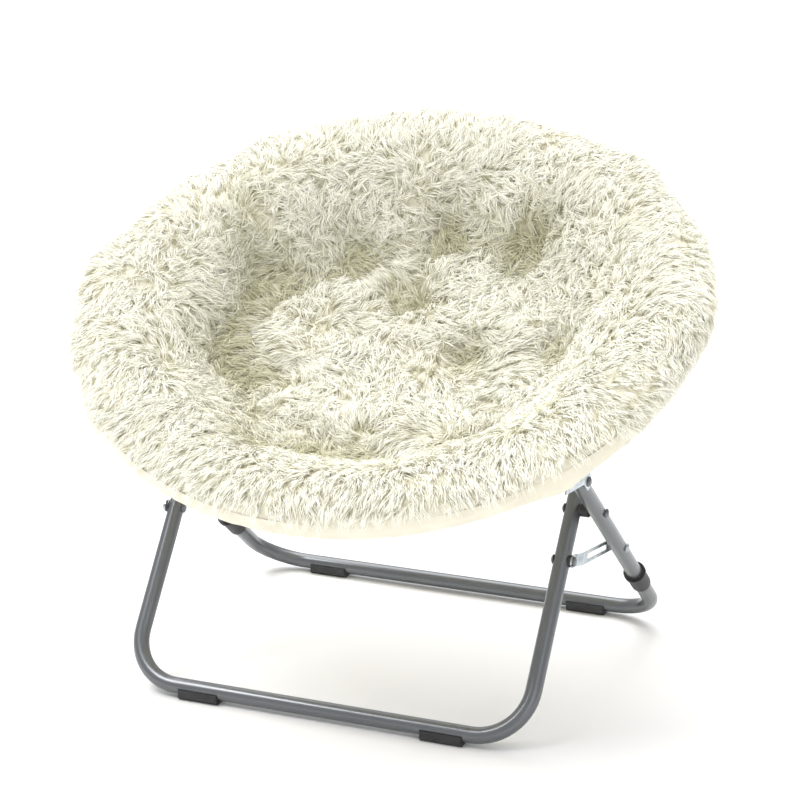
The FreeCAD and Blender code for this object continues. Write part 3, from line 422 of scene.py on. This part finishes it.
# Strands: rings at shares of the length, with a flat blade's width at all but the tip
STRAND_RINGS = np.array([0.0, 0.38, 0.72, 1.0])
RING_CORNERS = (2, 2, 2, 1)
BLADE_FACES = ((0, 1, 3), (0, 3, 2), (2, 3, 5), (2, 5, 4), (4, 5, 6))
BLADE_WIDTH, WIDTH_SHARES = 0.00085, (0.75, 1.0, 0.7)
BLADE_TWIST = 1.1
ROOT_DEPTH = 0.001
REACH_RANGE, HEIGHT_RANGE = (0.65, 1.12), (0.55, 1.2)
CLOSING_RANGE, CURL = (0.5, 0.95), 0.0022
LAY_POWER, TIP_DROOP = 1.35, 0.35
WAVE, WAVE_TURN = 0.0016, 5.5
HOLLOW_SHADE = 0.75


def surface_samples(grid, first, last, spacing):
    """Random places on the pad's rows, evenly by area, with normals and ways out."""
    rows = grid[first:last]
    corner, above = rows[:-1], rows[1:]
    right = np.roll(corner, -1, axis=1)
    cross = np.cross(above - corner, right - corner)
    area = np.linalg.norm(cross, axis=-1)
    count = int(area.sum() / spacing ** 2)
    chance = (area / area.sum()).ravel()
    cell = RANDOM.choice(chance.size, count, p=chance)
    row, column = np.divmod(cell, grid.shape[1])
    across, up = RANDOM.random(count)[:, None], RANDOM.random(count)[:, None]
    after = (column + 1) % grid.shape[1]
    lower = rows[row, column] * (1 - across) + rows[row, after] * across
    upper = rows[row + 1, column] * (1 - across) + rows[row + 1, after] * across
    normal = cross[row, column] / area[row, column][:, None]
    return lower * (1 - up) + upper * up, normal, unit(upper - lower)


def swirl(points, size, offset):
    """A slow random direction field, so that neighbouring clumps lie alike."""
    shift = Vector((offset, offset, offset))
    values = [noise.noise_vector(Vector(point / size) + shift) for point in points]
    return np.array([tuple(value) for value in values])


def comb(shares, outward):
    down = np.array([0.0, 0.0, -1.0])
    return shares[0] * outward + shares[1] * down


def clump_directions(places, normal, outward, rim):
    """Which way each clump lies: outwards over the rim, down and mixed inside."""
    drift = sum(strength * swirl(places, size, offset) for strength, size, offset in SWIRLS)
    lay = rim * comb(RIM_COMB, outward) + (1 - rim) * comb(BOWL_COMB, outward)
    lay = lay + drift * (DRIFT + BOWL_DRIFT * (1 - rim))
    lay = lay + SCATTER * RANDOM.normal(size=places.shape)
    lay -= (lay * normal).sum(-1, keepdims=True) * normal
    return unit(lay)


def blade_mesh(rings, flat):
    """Vertices, faces and root-to-tip shares of one flat blade per strand."""
    corners = []
    for ring, share in zip(rings[:-1], WIDTH_SHARES):
        corners += [ring - flat * BLADE_WIDTH * share / 2, ring + flat * BLADE_WIDTH * share / 2]
    corners.append(rings[-1])
    vertices = np.stack(corners, axis=1).reshape(-1, 3)
    base = np.arange(len(flat)) * len(corners)
    faces = (base[:, None, None] + np.array(BLADE_FACES)[None]).reshape(-1, 3)
    shares = np.tile(np.repeat(STRAND_RINGS, RING_CORNERS), len(flat))
    return vertices, faces, shares


def strands(places, normal, lay, length, stand, count):
    """The meshes of count strands for each clump, drawn together at their tips."""
    clumps = len(places)
    side = np.cross(normal, lay)
    total = clumps * count
    pick = np.repeat(np.arange(clumps), count)
    spread = RANDOM.normal(scale=CLUMP_SPREAD, size=(total, 2))
    root = places[pick] + lay[pick] * spread[:, :1] + side[pick] * spread[:, 1:]
    root -= normal[pick] * ROOT_DEPTH
    reach = length[pick] * RANDOM.uniform(*REACH_RANGE, total)
    height = stand[pick] * RANDOM.uniform(*HEIGHT_RANGE, total)
    curl = RANDOM.normal(scale=CURL, size=(total, 2))
    tip = -spread * RANDOM.uniform(*CLOSING_RANGE, (total, 1)) + curl
    phase = np.repeat(RANDOM.uniform(0, 2 * math.pi, clumps), count)
    rings = []
    for share in STRAND_RINGS:
        rise = height * (1 - (1 - share) ** 2) - TIP_DROOP * height * share ** 3
        run = reach * share ** LAY_POWER + tip[:, 0] * share
        aside = tip[:, 1] * share + WAVE * np.sin(phase + WAVE_TURN * share) * share
        rings.append(root + normal[pick] * rise[:, None] + lay[pick] * run[:, None]
                     + side[pick] * aside[:, None])
    twist = RANDOM.uniform(-BLADE_TWIST, BLADE_TWIST, total)[:, None]
    return blade_mesh(rings, side[pick] * np.cos(twist) + normal[pick] * np.sin(twist))


def fur_piece(name, places, v, normal, outward, rim, count):
    """A piece of fur, its strands painted darker in the hollows of the pad, as painted shade."""
    lay = clump_directions(places, normal, outward, rim[:, None])
    length = (LENGTH * (1 - RIM_SHORTER * rim)
              * RANDOM.uniform(*LENGTH_RANGE, len(places)))
    stand = (STANDING * RANDOM.uniform(*STANDING_RANGE, len(places))
             * (1 - RIM_LOWER * rim))
    vertices, faces, shares = strands(places, normal, lay, length, stand, count)
    # Painted shade: strands darken where the tufts and creases pull the pad down
    painted_hollow_shade = np.clip(tuft_drop(places[:, 0], v) / TUFT_DEPTH, 0, 1)
    shares = shares * np.repeat(1 - HOLLOW_SHADE * painted_hollow_shade, len(shares) // len(places))
    piece = new_mesh(name, vertices, faces, STRAND)
    strand = piece.data.attributes.new("strand", "FLOAT", "POINT")
    strand.data.foreach_set("value", shares.astype(np.float32))
    return piece


def make_fur(grid):
    """Fur on the pad: in the bowl, on the rim, and lower down at the two sides."""
    pieces = []
    for zone, first, last, spacing, count in FUR_ZONES:
        places, normal, outward = surface_samples(grid, first, last, spacing)
        v = ((places[:, 1] - HINGE_Y) * math.cos(REAR_TILT)
             + (places[:, 2] - HINGE_Z) * math.sin(REAR_TILT))
        radius = np.hypot(places[:, 0], v / FRONT_STRETCH)
        rim = smoothstep((radius - RIM_FUR_START) / RIM_FUR_SPAN)
        kept = np.abs(v) < SIDE_FUR_V if zone == "side" else np.full(v.shape, True)
        for half, in_half in (("front", v < 0), ("rear", v >= 0)):
            for side, on_side in (("left", places[:, 0] < 0), ("right", places[:, 0] >= 0)):
                chosen = kept & in_half & on_side
                pieces.append(fur_piece(f"fur_{zone}_{half}_{side}", places[chosen], v[chosen],
                                        normal[chosen], outward[chosen], rim[chosen], count))
    return pieces


# Cream cover: grid, then bands at a w with a half width
COVER_COLUMNS, COVER_ROWS, BOWL_ROWS = 900, 96, 42
ROLL_W, ROLL_HALF_WIDTH = -0.022, 0.012
GATHER_W, GATHER_HALF_WIDTH = -0.033, 0.007
HEM_W, HEM_HALF_WIDTH, HEM_DEPTH = -0.0265, 0.0011, 0.0008

# Its puckers wander round the seat, its roll sags, and its bowl hangs in slack folds;
# waves are given by height, count and phase
WANDER = ((0.05, 7, 0), (0.03, 17, 1))
PUCKERS = ((1, 86, 0), (0.6, 139, 2), (0.4, 53, 0))
SAGS = ((1, 6, 0.6), (0.6, 11, 0))
PUCKER_OUT, PUCKER_UP = 0.0011, 0.0010
SAG_OUT, SAG_UP = 0.0010, 0.0012
SLACK_DEPTH, SLACK_FOLDS = 0.002, 24
SLACK_START, SLACK_SPAN = 0.1, 0.1
COVER_LIFT_START, COVER_LIFT_SPAN = 0.020, 0.010


def make_cover():
    """The cloth under the ring: a gathered roll and a slung bowl."""
    roll_rows = profile(COVER_ROLL, COVER_ROWS - BOWL_ROWS)
    bowl_rows = profile(COVER_BOWL, BOWL_ROWS + 1)[1:]
    curve = np.concatenate([roll_rows, bowl_rows])
    x, v, w, radius, angle = seat_grid(curve, COVER_COLUMNS)
    on_roll = radius > ROLL_INNER_RADIUS
    roll = np.exp(-((w - ROLL_W) / ROLL_HALF_WIDTH) ** 2) * on_roll
    gather = np.exp(-((w - GATHER_W) / GATHER_HALF_WIDTH) ** 2) * on_roll
    hem = np.exp(-((w - HEM_W) / HEM_HALF_WIDTH) ** 2) * (radius > RING_HALF_WIDTH)
    wander = waves(angle, WANDER, angle)
    pucker = waves(wander, PUCKERS)
    sag = waves(angle, SAGS)
    outward = PUCKER_OUT * pucker * gather + SAG_OUT * sag * roll - HEM_DEPTH * hem
    w = w + PUCKER_UP * pucker * gather + SAG_UP * sag * roll
    hang = smoothstep((radius - SLACK_START) / SLACK_SPAN) * ~on_roll
    slack = SLACK_DEPTH * np.sin(SLACK_FOLDS * wander) * hang
    swell = metal_swell(x, v)
    w = w + swell * smoothstep((w + COVER_LIFT_START) / COVER_LIFT_SPAN)
    stretch = 1 + (outward + swell) / np.maximum(radius, LEAST_STRETCH_RADIUS)
    vertices = seat_to_world(x * stretch, v * stretch, w - slack).reshape(-1, 3)
    return new_mesh("seat_cover", vertices, ring_faces(COVER_ROWS, COVER_COLUMNS), CREAM)


def attach(piece, slot, *stands_for):
    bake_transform(piece)
    if stands_for:
        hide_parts(*stands_for)


def make_seat():
    pad, grid = make_padding()
    cover = make_cover()
    fur = make_fur(grid)
    attach(pad, "fur", "seat_cushion_front", "seat_cushion_rear")
    attach(cover, "cover_fabric", "seat_cover_front", "seat_cover_rear")
    for piece in fur:
        attach(piece, "fur")


# Floor and lights: the soft ones by place, height aimed at, size and power
FLOOR_SIZE = 30
SOFT_LIGHTS = (("key", (-1.6, -1.2, 3.0), 0.3, 1.5, 58),
               ("top", (0.6, 0.9, 3.2), 0.3, 2.6, 32),
               ("fill", (2.6, -2.6, 1.8), 0.4, 2.4, 14))
SUN_POWER, SUN_WIDTH = 1.8, math.radians(50)
SUN_LEAN = (math.radians(-20), math.radians(-22), 0)
WORLD_STRENGTH = 0.78


def make_floor():
    bpy.ops.mesh.primitive_plane_add(size=FLOOR_SIZE)
    floor = bpy.context.object
    floor.name = "floor"
    material, nodes, links, shader = new_material("floor")
    shader.inputs["Base Color"].default_value = (0.86, 0.86, 0.86, 1)
    shader.inputs["Roughness"].default_value = 0.9
    shader.inputs["Specular IOR Level"].default_value = 0.1
    floor.data.materials.append(material)


def add_light(name, kind, power):
    data = bpy.data.lights.new(name, kind)
    data.energy = power
    light = bpy.data.objects.new(name, data)
    bpy.context.scene.collection.objects.link(light)
    return light


def make_lights():
    for name, place, aim_height, size, power in SOFT_LIGHTS:
        light = add_light(name, "AREA", power)
        light.data.shape = "DISK"
        light.data.size = size
        light.location = place
        aim = Vector((0, 0, aim_height)) - Vector(place)
        light.rotation_euler = aim.to_track_quat("-Z", "Y").to_euler()
    overhead = add_light("overhead", "SUN", SUN_POWER)
    overhead.data.angle = SUN_WIDTH
    overhead.rotation_euler = SUN_LEAN


def make_world():
    world = bpy.data.worlds.new("studio")
    world.use_nodes = True
    background = world.node_tree.nodes["Background"]
    background.inputs["Color"].default_value = (1, 1, 1, 1)
    background.inputs["Strength"].default_value = WORLD_STRENGTH
    bpy.context.scene.world = world
    bpy.context.scene.view_settings.view_transform = "Standard"


# The photo's camera
CAMERA_PLACE = (0.993, -2.4023, 1.085)
CAMERA_TURN, CAMERA_DIP = 22.13, 16.34
LENS_PX, PHOTO_PX, SENSOR_MM = 2312, 800, 36


def make_camera():
    data = bpy.data.cameras.new("camera")
    data.sensor_width = SENSOR_MM
    data.lens = LENS_PX / PHOTO_PX * SENSOR_MM
    camera = bpy.data.objects.new("camera", data)
    camera.location = CAMERA_PLACE
    camera.rotation_euler = (math.radians(90 - CAMERA_DIP), 0, math.radians(CAMERA_TURN))
    bpy.context.scene.collection.objects.link(camera)
    bpy.context.scene.camera = camera


dress_frame()
make_seat()
make_floor()
make_lights()
make_world()
make_camera()
bpy.context.view_layer.update()
